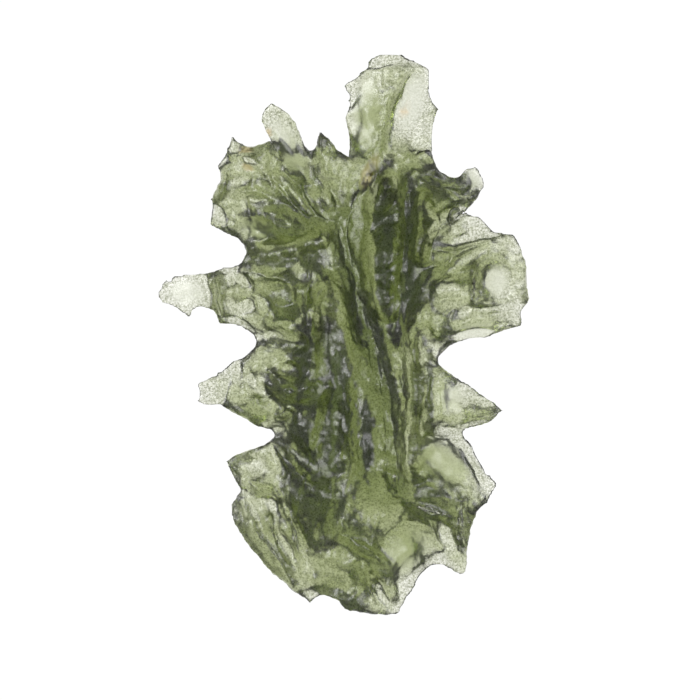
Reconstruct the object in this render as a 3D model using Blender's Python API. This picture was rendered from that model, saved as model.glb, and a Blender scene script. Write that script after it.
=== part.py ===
# A moldavite: one piece of natural bottle-green glass, etched into ribs, fins and spines.
# It lies on its back, on a small flat spot on each of two keels. X is its width, Y its length and +Z is up.
# All lengths are in millimetres until the finished mesh is scaled to metres.

import math
import random

import bmesh
import bpy
import numpy as np
from mathutils import Matrix, Vector, noise
from mathutils.bvhtree import BVHTree
from mathutils.geometry import interpolate_bezier

# Driving dimensions of the stone.
EDGE = 0.5  # thickness left along the sharp outer edge of a fin
STEP = 0.4  # spacing of the points along an outline
RINGS = 8  # rows of faces between the edge of a fin and its crest
CREST_SHARE = 0.95  # how far a fin's sides run towards the crest line before the top closes
GROWTH = 0.06  # how far an outline is moved outwards, because fusing the fins shrinks it
TIP_REACH = 0.12  # how much further still a tip stands out
SKIN = 0.3  # grid on which the fins are fused into one skin
FLAT_SPOT = 1.3  # height of the slice cut off below, which leaves the flat spots it rests on
TRIANGLES = 9400  # faces left on the finished solid

# Each fin is a closed outline seen from above, (x, y) or (x, y, "tip") where it has a corner, and a
# crest line of (x, y, z of the fin's own plane, height above it, depth below it). A bow over 1 makes
# the sides hollow, and one under 1 makes them swell.
FINS = {
    "body": {
        "outline": [
            (5.2, 9.0), (2.0, 11.6), (-2.4, 10.6), (-4.6, 6.0), (-4.4, -2.0), (-4.6, -9.0),
            (-3.0, -14.2), (1.2, -16.8), (5.2, -14.2), (6.2, -9.0), (5.6, -2.0), (6.2, 4.0),
        ],
        "crest": [
            (0.2, 8.0, 5.2, 3.0, 3.6), (0.6, 0.0, 5.2, 3.4, 4.4), (1.0, -8.0, 5.0, 3.2, 4.4),
            (1.0, -12.5, 4.8, 2.2, 3.2),
        ],
        "bow": 0.75,
    },
    "top_blade": {
        "outline": [
            (6.3, 11.0), (6.35, 12.6), (6.45, 14.0), (6.4, 14.9), (6.85, 15.9, "tip"), (6.3, 16.5),
            (6.1, 17.4), (6.15, 18.75, "tip"), (4.8, 19.6), (3.1, 20.05), (1.9, 19.6), (1.1, 18.6),
            (0.0, 17.6, "tip"), (0.35, 16.7), (0.05, 15.6), (0.15, 12.6), (-0.2, 9.0), (0.4, 5.6), (3.4, 5.8),
        ],
        "crest": [
            (1.2, 7.2, 5.3, 2.9, 3.4), (1.9, 10.2, 5.4, 2.3, 2.0), (2.4, 13.2, 5.2, 0.8, 0.7),
            (3.2, 16.6, 5.3, 0.5, 0.4), (4.4, 18.6, 5.6, 0.4, 0.35),
        ],
        "bow": 0.9,
    },
    "top_spike": {
        "outline": [
            (2.4, 10.6), (0.9, 12.3), (-0.2, 13.0), (-0.9, 13.8), (-1.7, 14.5, "tip"), (-1.95, 13.9),
            (-2.0, 12.6), (-2.8, 10.0), (-1.6, 6.4), (0.8, 5.8), (2.4, 8.4),
        ],
        "crest": [
            (0.0, 7.6, 5.4, 2.7, 3.0), (-0.5, 10.0, 6.0, 2.1, 1.7), (-1.2, 12.0, 6.6, 1.4, 1.2),
            (-1.6, 13.7, 7.2, 0.5, 0.6),
        ],
        "bow": 1.1,
    },
    "top_finger": {
        "outline": [
            (-2.0, 12.4), (-2.5, 13.1), (-2.9, 13.9), (-3.3, 15.2), (-4.1, 15.8), (-5.1, 16.45, "tip"),
            (-5.85, 15.7), (-5.85, 14.9), (-5.4, 13.9), (-4.8, 11.6), (-4.2, 8.6), (-1.6, 8.0),
        ],
        "crest": [
            (-2.6, 9.6, 5.6, 2.2, 2.0), (-3.2, 11.8, 6.2, 1.2, 1.0), (-4.2, 14.2, 6.7, 0.6, 0.5),
            (-5.0, 15.6, 7.0, 0.45, 0.4),
        ],
        "bow": 0.7,
    },
    "shoulder": {
        "outline": [
            (-2.0, 12.6), (-4.2, 13.1), (-5.1, 13.95, "tip"), (-6.4, 13.4), (-7.3, 13.6),
            (-7.95, 14.3, "tip"), (-8.3, 13.2), (-8.6, 12.4), (-9.15, 12.05, "tip"), (-8.75, 11.4),
            (-8.95, 10.6), (-9.5, 9.6, "tip"), (-9.4, 8.7), (-9.65, 7.7, "tip"), (-8.3, 6.95),
            (-7.3, 6.5), (-6.8, 5.95), (-6.4, 5.0), (-4.4, 4.6), (0.2, 5.0), (1.0, 9.4),
        ],
        "crest": [
            (-0.6, 8.0, 5.3, 3.0, 3.6), (-2.6, 9.0, 5.3, 2.7, 2.8), (-4.8, 9.8, 5.2, 2.2, 2.0),
            (-7.4, 10.4, 5.0, 1.1, 1.0),
        ],
        "bow": 0.95,
    },
    "long_spine": {
        "outline": [
            (-3.0, 6.0), (-6.6, 6.0), (-7.1, 5.3), (-8.0, 4.85), (-9.5, 4.5), (-9.3, 2.8), (-9.0, 1.2),
            (-9.1, 0.7, "tip"), (-7.8, 0.5), (-6.8, 0.15), (-6.1, -0.5), (-3.4, -1.2), (0.0, 0.2), (0.2, 5.0),
        ],
        "crest": [
            (-0.8, 2.6, 5.1, 3.1, 4.0), (-3.0, 2.8, 5.0, 2.5, 3.0), (-5.6, 3.0, 4.8, 1.7, 1.8),
            (-8.4, 2.9, 4.7, 0.9, 0.8),
        ],
        "bow": 1.0,
    },
    "long_spine_tip": {
        "outline": [
            (-8.0, 4.8), (-9.4, 4.5), (-11.0, 4.35), (-12.1, 4.15), (-12.8, 3.7), (-13.25, 2.9),
            (-13.0, 2.2), (-12.0, 1.9), (-11.5, 1.45), (-10.65, 0.8, "tip"), (-11.15, 2.15, "tip"),
            (-10.3, 1.95), (-9.2, 1.4), (-8.6, 1.2), (-7.4, 3.0),
        ],
        "crest": [(-8.4, 3.0, 4.8, 0.7, 0.6), (-10.6, 3.1, 5.0, 0.35, 0.3), (-12.2, 3.0, 5.4, 0.2, 0.2)],
        "bow": 0.8,
    },
    "low_spine": {
        "outline": [
            (-2.8, -0.8), (-6.2, -0.7), (-7.1, -1.5), (-8.0, -1.8), (-8.5, -2.35), (-9.6, -2.95),
            (-10.5, -3.5, "tip"), (-10.3, -4.15), (-10.5, -4.85, "tip"), (-9.7, -5.15), (-8.6, -5.15),
            (-8.0, -5.6), (-7.1, -6.0), (-6.1, -6.7), (-5.4, -6.65), (-4.7, -6.95), (-2.2, -7.4),
            (0.2, -6.0), (0.0, -1.4),
        ],
        "crest": [
            (-0.8, -3.7, 5.1, 3.0, 4.0), (-2.8, -3.9, 5.0, 2.4, 2.8), (-5.8, -3.9, 4.9, 1.5, 1.5),
            (-9.2, -4.2, 5.1, 0.4, 0.4),
        ],
        "bow": 1.05,
    },
    "left_fan": {
        "outline": [
            (-2.4, -6.6), (-4.7, -7.3), (-5.7, -7.65), (-6.9, -8.1), (-8.5, -9.0, "tip"), (-7.9, -10.2),
            (-7.5, -11.2, "tip"), (-8.1, -12.1), (-8.0, -13.2), (-7.2, -14.6), (-5.9, -16.2),
            (-4.6, -17.5), (-3.3, -18.5), (-2.35, -19.15, "tip"), (-1.7, -18.5), (-0.6, -18.7),
            (0.4, -17.6), (1.6, -14.0), (2.0, -9.0), (0.0, -6.2),
        ],
        "crest": [
            (0.0, -8.6, 4.9, 2.9, 3.8), (-1.8, -11.0, 4.8, 2.4, 2.6), (-3.2, -13.4, 4.6, 1.7, 1.7),
            (-4.0, -15.8, 4.4, 1.0, 1.0),
        ],
        "bow": 1.0,
    },
    "foot_lobe": {
        "outline": [
            (-2.6, -14.0), (-1.7, -18.4), (-0.7, -18.5), (0.0, -19.55, "tip"), (1.1, -19.75),
            (2.6, -20.05), (4.0, -19.9, "tip"), (4.35, -19.0), (5.0, -18.2), (5.2, -17.3),
            (5.8, -16.5), (6.2, -13.6), (2.4, -11.4),
        ],
        "crest": [(1.2, -13.2, 4.6, 2.4, 2.2), (1.4, -16.2, 4.6, 1.7, 1.5), (1.7, -18.6, 4.8, 0.8, 0.8)],
        "bow": 0.95,
    },
    "right_fan": {
        "outline": [
            (3.0, -7.4), (6.9, -7.0), (8.6, -7.0), (9.2, -7.8), (9.7, -8.9), (10.2, -9.6),
            (10.95, -10.5, "tip"), (10.65, -11.2), (10.4, -12.0, "tip"), (9.85, -12.3), (9.3, -13.5),
            (8.95, -14.8), (9.0, -16.6), (8.4, -17.3, "tip"), (7.5, -16.8), (6.5, -16.5), (5.6, -16.8),
            (4.4, -15.4), (1.6, -12.0), (0.8, -8.4),
        ],
        "crest": [
            (2.0, -9.4, 5.0, 2.9, 3.8), (4.2, -10.6, 5.0, 2.3, 2.6), (6.4, -11.6, 5.1, 1.5, 1.5),
            (8.6, -11.9, 5.3, 0.8, 0.8),
        ],
        "bow": 1.1,
    },
    "right_spine": {
        "outline": [
            (3.4, -0.8), (6.2, -1.0), (6.8, -1.9), (7.9, -2.75), (9.4, -3.7), (10.4, -4.4),
            (11.5, -5.3, "tip"), (10.9, -6.1), (10.3, -6.55), (8.6, -6.85), (6.8, -7.0), (5.6, -7.6),
            (2.4, -7.6), (0.6, -4.0), (1.6, -0.6),
        ],
        "crest": [
            (2.2, -3.6, 5.2, 2.9, 3.8), (4.4, -4.2, 5.5, 1.9, 2.4), (6.8, -4.8, 5.7, 1.0, 0.9),
            (10.2, -5.4, 6.0, 0.5, 0.4),
        ],
        "bow": 0.95,
    },
    "right_lobe": {
        "outline": [
            (3.0, 8.4), (6.4, 9.4), (8.9, 8.75), (9.9, 8.35), (10.75, 7.45, "tip"), (11.8, 7.45),
            (12.5, 6.7), (13.0, 5.3), (13.15, 3.6), (13.3, 2.05, "tip"), (12.5, 1.9),
            (11.6, 1.6, "tip"), (12.5, 1.3), (12.85, 1.1, "tip"), (12.7, 0.3, "tip"), (11.6, 0.15),
            (10.4, -0.4), (8.8, -0.6), (7.6, -1.05), (6.7, -1.8), (2.8, -2.0), (0.6, 2.0), (1.4, 6.6),
        ],
        "crest": [
            (2.0, 3.8, 5.1, 3.0, 3.8), (4.6, 4.0, 5.0, 2.3, 2.7), (7.2, 4.2, 5.0, 1.6, 1.7),
            (10.2, 4.2, 5.1, 0.9, 0.9), (11.8, 4.4, 5.3, 0.7, 0.7),
        ],
        "bow": 0.85,
    },
    "wing": {
        "outline": [
            (2.6, 12.4), (6.0, 13.4), (6.6, 12.0), (7.5, 11.3), (8.25, 11.5), (8.6, 12.0, "tip"),
            (9.1, 11.9), (9.65, 12.05, "tip"), (9.8, 11.2), (10.15, 10.45, "tip"), (9.5, 9.5),
            (8.9, 8.7), (5.8, 6.0), (1.8, 4.8), (0.8, 8.4),
        ],
        "crest": [
            (2.0, 7.4, 5.3, 2.8, 3.4), (4.2, 9.4, 6.0, 2.1, 2.1), (6.4, 10.4, 6.6, 1.4, 1.4),
            (9.0, 10.7, 7.0, 0.6, 0.6),
        ],
        "bow": 1.1,
    },
}

# Profiles across a rib or a channel: the power at which its height falls off to each side.
PEAKED = 1.6
ROUND = 2.0
FLAT = 3.5
RUN_OUT = 0.8  # how gently a rib or a channel runs out at its ends, as length against height
WANDER = (0.3, 2.2)  # share by which its width varies, and the length of that variation

# Ribs raised on the upper side, each (half width, height) and the line that its crest follows.
RIBS = [
    (0.8, 0.7, [(1.6, 11.6), (1.0, 9.6), (0.1, 8.2), (-0.1, 6.4), (0.5, 4.8), (1.1, 3.2), (1.3, 1.2)]),
    (1.1, 1.1, [(1.0, 2.6), (1.9, -0.6), (2.8, -3.0), (3.4, -6.0), (3.6, -9.0), (3.7, -11.6)]),
    (0.7, 0.7, [(4.3, 11.2), (4.6, 8.8), (4.5, 6.0), (3.9, 3.4), (4.1, 0.6), (4.3, -2.0), (4.5, -6.6)]),
    (0.6, 0.55, [(-2.7, 6.0), (-2.55, 3.8), (-2.7, 1.6), (-2.4, 0.2)]),
    (0.6, 0.55, [(-2.4, -0.4), (-2.5, -2.0), (-3.0, -4.4), (-3.1, -6.6)]),
    (0.7, 0.3, [(1.8, 11.6), (2.4, 13.8), (3.0, 15.8), (4.2, 18.3)]),
    (0.6, 0.4, [(4.6, -12.0), (5.6, -12.9), (6.4, -14.4), (7.6, -15.8), (8.4, -17.0)]),
]

# Channels sunk into the upper side, in the same terms.
CHANNELS = [
    (1.8, 1.7, [(-0.9, 2.4), (-0.2, -2.0), (-0.4, -6.0), (-0.7, -9.6)]),
    (1.5, 1.6, [(3.1, 10.4), (2.8, 8.0), (2.9, 5.0), (3.0, 2.2)]),
    (0.8, 1.1, [(4.9, 0.4), (4.95, -3.0), (4.9, -6.6), (4.8, -9.4)]),
    (0.8, 1.2, [(5.6, 9.8), (5.7, 7.6), (5.2, 5.4)]),
    (0.7, 1.0, [(-5.6, 5.9), (-3.6, 6.2), (-1.4, 6.8)]),
    (0.8, 1.1, [(-6.0, -0.4), (-4.2, -0.4), (-2.4, -1.0)]),
    (0.8, 1.0, [(-4.6, -7.2), (-3.2, -8.4), (-1.6, -10.2)]),
    (0.7, 0.9, [(6.6, -1.6), (5.6, 0.2), (5.2, 1.8)]),
    (0.7, 0.9, [(6.8, -7.2), (5.4, -8.0), (4.8, -9.6)]),
]

# Keels that stand out below, under the dark parts of the stone, in the same terms.
KEELS = [
    # body
    (1.5, 1.5, [(-0.9, 0.0), (-0.6, -2.0), (-0.7, -6.0), (-1.2, -9.4)]),
    (1.5, 2.8, [(2.9, 11.0), (2.8, 8.0), (3.0, 5.0), (3.1, 1.4)]),
    (1.1, 2.2, [(5.2, 9.6), (5.4, 7.0), (5.0, 5.0)]),
    (0.8, 2.2, [(4.9, 0.4), (4.95, -3.0), (4.9, -6.6), (4.8, -9.4)]),
    # spike, shoulder and wing
    (0.7, 1.4, [(-1.5, 13.6), (-0.6, 12.2)]),
    (0.7, 1.4, [(-6.6, 13.2), (-5.0, 12.8)]),
    (0.7, 1.4, [(-8.6, 10.8), (-8.9, 9.6)]),
    (1.3, 1.7, [(-6.6, 7.6), (-4.2, 7.6)]),
    (1.2, 3.0, [(-7.4, 6.0), (-5.2, 5.4), (-3.2, 6.2)]),
    (1.2, 1.8, [(5.6, 10.6), (7.4, 10.4), (8.6, 9.9)]),
    # long spine and low spine
    (0.6, 1.2, [(-9.3, 4.2), (-8.9, 2.6), (-8.5, 1.2)]),
    (0.8, 2.6, [(-5.6, -0.9), (-4.2, -0.8), (-2.6, -1.2)]),
    (0.7, 1.2, [(-8.0, -5.0), (-6.2, -5.6)]),
    # left fan and foot
    (1.0, 1.8, [(-4.4, -7.6), (-3.2, -8.8), (-1.8, -10.4)]),
    (0.8, 1.4, [(-7.6, -9.0), (-6.4, -8.6)]),
    (0.6, 1.2, [(-7.4, -11.6), (-7.0, -13.6), (-5.4, -16.0), (-3.4, -18.0)]),
    (1.0, 1.4, [(-2.2, -11.4), (-1.6, -13.0), (-1.1, -14.8)]),
    (1.1, 1.6, [(-1.2, -17.6), (0.8, -18.4), (2.2, -17.0)]),
    (1.2, 1.1, [(4.6, -14.6), (4.9, -17.0)]),
    # right fan and right spine
    (1.6, 0.9, [(6.6, -8.4), (8.4, -9.6)]),
    (0.9, 1.2, [(5.4, -11.4), (6.4, -12.3), (7.8, -12.6)]),
    (0.8, 2.2, [(8.6, -12.2), (8.7, -13.8), (8.5, -15.0)]),
    (0.7, 1.2, [(6.6, -2.6), (7.6, -3.4)]),
    (0.8, 1.0, [(8.6, -5.6), (10.6, -5.6)]),
    # right lobe
    (0.7, 1.4, [(6.6, 0.2), (7.4, 1.6)]),
    (0.6, 1.2, [(10.2, 0.6), (12.0, 0.8)]),
    (0.6, 1.4, [(12.9, 5.8), (13.0, 4.0), (12.9, 2.4)]),
    (0.6, 1.0, [(9.3, 4.4), (9.2, 3.2), (10.0, 2.4)]),
]

# Flutes sunk into the lower side, under the pale ribs.
FLUTES = [
    (2.1, 3.3, [
        (0.3, 11.6), (0.4, 9.0), (0.3, 7.0), (0.8, 5.0), (0.9, 2.6), (1.6, 0.0), (2.5, -3.0),
        (2.8, -6.0), (2.6, -10.0), (1.8, -12.8),
    ]),
    (1.1, 2.2, [(-1.6, 4.6), (-1.4, 1.4)]),
    (1.0, 1.6, [(1.1, -8.0), (0.9, -9.6), (0.6, -11.6)]),
    (1.0, 1.9, [(-2.7, 5.4), (-2.6, 3.0), (-2.6, 0.6)]),
    (1.4, 1.6, [(-2.8, 9.6), (-1.4, 8.6)]),
]

# Hollows, seen from above: centre, half length, half width, turn of the long axis from X in degrees
# and depth. Where two meet, a sharp ridge is left between them.
HOLLOWS = [
    # top blade
    (4.6, 16.2, 2.5, 1.15, 75, 0.55), (1.9, 17.3, 1.5, 1.0, 80, 0.3), (0.8, 14.9, 2.1, 0.7, 88, 0.3),
    (2.0, 14.4, 2.2, 0.6, 80, 0.25), (2.8, 19.3, 1.8, 0.5, 5, 0.3), (5.8, 16.6, 1.3, 0.45, 95, 0.3),
    (5.6, 14.6, 1.0, 0.8, 60, 0.3), (3.6, 13.4, 1.2, 0.8, 50, 0.3),
    # finger and spike
    (-4.5, 14.0, 2.2, 0.75, 118, 0.35), (-5.4, 15.2, 0.9, 0.4, 100, 0.25), (-1.3, 13.3, 0.9, 0.5, 110, 0.35),
    # shoulder
    (-6.2, 7.5, 1.6, 0.95, -15, 0.6), (-8.9, 8.6, 1.1, 0.55, -50, 0.35), (-6.9, 10.9, 1.1, 0.8, 10, 0.4),
    (-7.2, 9.2, 1.0, 0.7, 30, 0.4), (-8.1, 13.1, 0.9, 0.5, 100, 0.3), (-6.4, 12.5, 1.5, 0.7, 10, 0.4),
    (-4.6, 12.4, 1.3, 0.6, -50, 0.4), (-5.0, 10.0, 1.4, 0.6, -35, 0.4), (-3.9, 10.4, 1.8, 0.5, -48, 0.45),
    (-3.0, 9.4, 1.7, 0.5, -50, 0.4), (-2.1, 9.6, 1.8, 0.5, -58, 0.4), (-1.2, 9.2, 1.6, 0.5, -62, 0.4),
    (-4.4, 8.4, 1.5, 0.6, -20, 0.4), (-3.2, 7.4, 0.9, 0.7, 20, 0.4), (-1.8, 7.6, 0.9, 0.6, -60, 0.4),
    # long spine
    (-11.1, 3.3, 1.2, 0.9, 5, 0.2), (-12.6, 3.0, 0.8, 0.6, 70, 0.2), (-9.7, 2.9, 1.4, 0.55, 95, 0.25),
    (-8.3, 4.0, 0.9, 0.6, 60, 0.35), (-7.2, 3.9, 1.2, 0.6, -60, 0.35), (-8.2, 2.3, 0.8, 0.6, -50, 0.3),
    (-7.0, 2.1, 1.0, 0.85, 20, 0.4), (-7.7, 0.9, 1.2, 0.5, -20, 0.3), (-5.7, 2.3, 1.4, 0.5, -60, 0.35),
    (-6.0, 0.8, 0.9, 0.4, -55, 0.3), (-4.7, 3.0, 1.6, 0.9, -25, 0.55), (-3.9, 0.9, 1.3, 0.6, -5, 0.45),
    (-6.2, 5.1, 0.9, 0.6, -20, 0.4), (-4.0, 4.8, 1.0, 0.7, 0, 0.4), (-5.0, 0.2, 0.8, 0.5, 20, 0.3),
    # low spine
    (-9.8, -4.3, 0.9, 0.8, 0, 0.2), (-8.5, -3.8, 1.6, 0.5, 80, 0.3), (-7.7, -3.0, 1.3, 0.45, -78, 0.3),
    (-6.7, -3.3, 0.9, 0.45, -80, 0.3), (-5.5, -4.6, 1.6, 0.8, -45, 0.45), (-4.0, -4.0, 0.7, 0.6, 20, 0.5),
    (-4.0, -5.6, 0.8, 0.6, -60, 0.5), (-3.8, -2.4, 1.0, 0.7, -20, 0.5), (-7.2, -5.1, 1.1, 0.5, -25, 0.3),
    (-5.4, -2.3, 1.3, 0.6, 15, 0.4),
    # left fan
    (-6.3, -9.2, 1.4, 1.0, -20, 0.5), (-5.2, -12.0, 1.0, 0.85, -30, 0.5), (-4.8, -9.0, 1.5, 0.5, -75, 0.35),
    (-6.2, -12.6, 1.5, 0.5, -62, 0.35), (-3.2, -14.0, 3.0, 0.65, -68, 0.5), (-4.2, -15.2, 2.0, 0.5, -58, 0.4),
    (-5.4, -16.0, 2.6, 0.5, -52, 0.4), (-7.5, -12.9, 1.2, 0.5, -75, 0.3), (-3.6, -10.6, 1.4, 0.6, -60, 0.4),
    (-2.2, -18.2, 0.6, 0.5, 0, 0.3), (-0.8, -18.1, 1.1, 0.6, 20, 0.4), (-6.6, -14.6, 1.0, 0.5, -60, 0.3),
    # foot
    (4.2, -14.8, 2.6, 2.1, 20, 0.7), (4.9, -17.3, 2.0, 1.9, 60, 0.7), (0.2, -15.2, 1.4, 1.0, -20, 0.5),
    (2.6, -18.3, 1.9, 0.6, -60, 0.4), (1.4, -18.4, 1.5, 0.6, -55, 0.4), (0.2, -17.4, 1.2, 0.7, -40, 0.4),
    (1.6, -12.6, 1.6, 1.0, 80, 0.5), (1.8, -16.0, 1.2, 0.7, -30, 0.4),
    # right fan
    (7.2, -8.9, 2.3, 1.5, -40, 0.5), (9.1, -8.8, 1.7, 0.5, -62, 0.3), (9.9, -10.3, 1.3, 0.5, -50, 0.3),
    (6.2, -12.4, 1.7, 0.6, -18, 0.5), (7.1, -14.0, 1.6, 0.8, -62, 0.4), (8.6, -13.4, 1.9, 0.6, 92, 0.6),
    (7.6, -15.9, 1.5, 0.5, -50, 0.3), (6.0, -11.0, 1.2, 0.6, 10, 0.4), (5.2, -10.0, 0.8, 0.7, 0, 0.4),
    (8.8, -11.4, 1.0, 0.6, -20, 0.3),
    # right spine
    (8.0, -4.4, 1.7, 1.5, -60, 0.45), (10.1, -5.1, 1.2, 0.6, -25, 0.25), (9.5, -6.2, 1.6, 0.4, 12, 0.25),
    (6.2, -4.4, 1.9, 0.7, 90, 0.45), (6.6, -6.5, 1.2, 0.5, 5, 0.3), (6.4, -2.3, 0.9, 0.6, -40, 0.35),
    # right lobe
    (10.6, 3.8, 1.25, 0.95, 80, 0.55), (12.0, 3.5, 1.3, 0.9, 80, 0.35), (9.2, 3.4, 1.1, 0.5, 75, 0.45),
    (8.8, 5.3, 1.9, 0.7, 32, 0.4), (7.2, 3.3, 1.3, 0.75, 10, 0.45), (9.2, 6.7, 2.0, 0.5, 20, 0.35),
    (9.2, 7.8, 1.3, 0.5, 30, 0.3), (12.0, 6.0, 1.0, 0.8, -50, 0.3), (9.2, 0.1, 1.8, 0.5, 8, 0.35),
    (10.6, 1.9, 1.8, 0.4, 5, 0.3), (11.4, 0.9, 1.2, 0.5, 10, 0.3), (8.6, 1.6, 1.1, 0.6, 35, 0.35),
    (7.3, 1.5, 1.1, 0.5, 50, 0.45), (6.4, 5.2, 1.4, 0.6, 25, 0.4), (5.6, 3.6, 1.0, 0.7, 60, 0.45),
    (7.0, 0.0, 1.2, 0.5, 60, 0.35), (5.6, 1.6, 0.9, 0.6, 90, 0.4),
    # wing
    (7.0, 11.0, 1.9, 0.6, -15, 0.4), (7.9, 9.9, 1.6, 0.5, -40, 0.4), (9.3, 11.1, 1.0, 0.7, 80, 0.3),
    (7.2, 8.1, 2.2, 0.8, 38, 0.5), (6.6, 9.6, 1.1, 0.4, -62, 0.35), (8.9, 9.9, 1.1, 0.4, 55, 0.3),
    (5.8, 12.3, 0.9, 0.6, 40, 0.35),
]
UNDER_SHARE = 0.65  # how deep a hollow is on the lower side, against its depth above
THINNEST = 0.42  # share of the local thickness that a hollow may take away

# Small cups all over the skin, from a seeded draw.
CUP_SPACING = 2.3
CUP_SIZE = (1.5, 0.8)
CUP_DEPTH = 0.3
CUP_SEED = 7


def outline_points(corners):
    """Points along a closed outline: a smooth curve through the corners that breaks at each tip."""
    count = len(corners)
    tips = [len(corner) > 2 for corner in corners]
    places = [Vector(corner[:2]) for corner in corners]
    for i in range(count):
        if tips[i]:
            middle = (Vector(corners[i - 1][:2]) + Vector(corners[(i + 1) % count][:2])) / 2
            places[i] += (places[i] - middle).normalized() * TIP_REACH
    points = []
    for i in range(count):
        here, there = places[i], places[(i + 1) % count]
        before, after = places[i - 1], places[(i + 2) % count]
        out_of = here.lerp(there, 1 / 3) if tips[i] else here + (there - before) / 6
        into = there.lerp(here, 1 / 3) if tips[(i + 1) % count] else there - (after - here) / 6
        parts = max(2, round((there - here).length / STEP))
        points += interpolate_bezier(here, out_of, into, there, parts + 1)[:-1]
    grown = []
    for before, here, after in zip(points[-1:] + points[:-1], points, points[1:] + points[:1]):
        along = (after - before).normalized()
        grown.append(here + GROWTH * Vector((along.y, -along.x)))
    return grown


def nearest_on_crest(point, crest):
    """The nearest place on a crest line: (x, y, z of the plane, height, depth)."""
    best, best_gap = None, math.inf
    for a, b in zip(crest, crest[1:]):
        a, b = np.array(a), np.array(b)
        along = b[:2] - a[:2]
        share = np.clip(np.dot(np.array(point) - a[:2], along) / np.dot(along, along), 0, 1)
        place = a + share * (b - a)
        gap = math.dist(place[:2], point)
        if gap < best_gap:
            best, best_gap = place, gap
    return best


def next_ring(bm, ring, places):
    """Extrudes a closed ring of vertices and moves the new ring to the given places."""
    loop = [bm.edges.get((a, b)) for a, b in zip(ring, ring[1:] + ring[:1])]
    made = bmesh.ops.extrude_edge_only(bm, edges=loop)["geom"]
    new = {item for item in made if isinstance(item, bmesh.types.BMVert)}
    grown = []
    for vert, place in zip(ring, places):
        twin = next(e.other_vert(vert) for e in vert.link_edges if e.other_vert(vert) in new)
        twin.co = place
        grown.append(twin)
    return grown


def add_fin(bm, fin):
    """A closed fin: a thin edge along the outline, and sides that rise above and below to its crest."""
    rim = outline_points(fin["outline"])
    crests = [nearest_on_crest(point, fin["crest"]) for point in rim]
    ring = [bm.verts.new((p.x, p.y, c[2] - EDGE / 2)) for p, c in zip(rim, crests)]
    for a, b in zip(ring, ring[1:] + ring[:1]):
        bm.edges.new((a, b))
    under = ring
    ring = next_ring(bm, ring, [(p.x, p.y, c[2] + EDGE / 2) for p, c in zip(rim, crests)])
    for side, first, reach in ((1, ring, 3), (-1, under, 4)):
        ring = first
        for row in range(1, RINGS + 1):
            share = CREST_SHARE * row / RINGS
            rise = (row / RINGS) ** fin["bow"]
            places = []
            for point, crest in zip(rim, crests):
                flat = point.lerp(Vector(crest[:2]), share)
                places.append((flat.x, flat.y, crest[2] + side * (EDGE / 2 + crest[reach] * rise)))
            ring = next_ring(bm, ring, places)
        bm.faces.new(ring)


def apply_modifiers(obj):
    """Turns the object's modifiers into its own mesh."""
    graph = bpy.context.evaluated_depsgraph_get()
    mesh = bpy.data.meshes.new_from_object(obj.evaluated_get(graph))
    obj.modifiers.clear()
    obj.data = mesh


def fuse(stone):
    """Makes one closed skin round everything in the mesh, with no bubble left inside it."""
    skin = stone.modifiers.new("one skin", "REMESH")
    skin.mode = "VOXEL"
    skin.voxel_size = SKIN
    apply_modifiers(stone)
    bm = bmesh.new()
    bm.from_mesh(stone.data)
    unseen = set(bm.verts)
    pieces = []
    while unseen:
        piece = {unseen.pop()}
        edge_of_piece = set(piece)
        while edge_of_piece:
            linked = {edge.other_vert(vert) for vert in edge_of_piece for edge in vert.link_edges}
            edge_of_piece = linked - piece
            piece |= edge_of_piece
        unseen -= piece
        pieces.append(piece)
    outer = max(pieces, key=len)
    bubbles = [vert for piece in pieces if piece is not outer for vert in piece]
    bmesh.ops.delete(bm, geom=bubbles, context="VERTS")
    bm.to_mesh(stone.data)
    bm.free()


def place_on_line(points, line):
    """How far each point lies from a line of corners, seen from above, and from the nearer end of it."""
    gap, way = np.full(len(points), math.inf), np.zeros(len(points))
    passed = 0
    for a, b in zip(line, line[1:]):
        a, along = np.array(a), np.array(b) - np.array(a)
        length = np.linalg.norm(along)
        share = np.clip((points - a) @ along / length ** 2, 0, 1)
        here = np.linalg.norm(points - a - share[:, None] * along, axis=1)
        nearer = here < gap
        gap[nearer] = here[nearer]
        way[nearer] = passed + share[nearer] * length
        passed += length
    return gap, np.minimum(way, passed - way)


def deepest_hollow(points, hollows):
    """The depth at each point of the deepest hollow that covers it, seen from above."""
    depth = np.zeros(len(points))
    for x, y, half_length, half_width, turn, deep in hollows:
        angle = math.radians(turn)
        along = (points - (x, y)) @ (math.cos(angle), math.sin(angle)) / half_length
        across = (points - (x, y)) @ (-math.sin(angle), math.cos(angle)) / half_width
        depth = np.maximum(depth, deep * (1 - along ** 2 - across ** 2))
    return depth


def random_cups(draw):
    """Small hollows on a jittered grid, each stretched along the nearest crest line."""
    crests = [(a, b) for fin in FINS.values() for a, b in zip(fin["crest"], fin["crest"][1:])]
    cups = []
    for column in np.arange(-14, 14, CUP_SPACING):
        for row in np.arange(-21, 21, CUP_SPACING):
            x = column + draw.uniform(-0.5, 0.5) * CUP_SPACING
            y = row + draw.uniform(-0.5, 0.5) * CUP_SPACING
            a, b = min(crests, key=lambda ends: place_on_line(
                np.array([(x, y)]), [ends[0][:2], ends[1][:2]])[0][0])
            turn = math.degrees(math.atan2(b[1] - a[1], b[0] - a[0])) + draw.uniform(-25, 25)
            size = draw.uniform(0.8, 1.25)
            cups.append((x, y, CUP_SIZE[0] * size, CUP_SIZE[1] * size, turn, CUP_DEPTH * size))
    return cups


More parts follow.
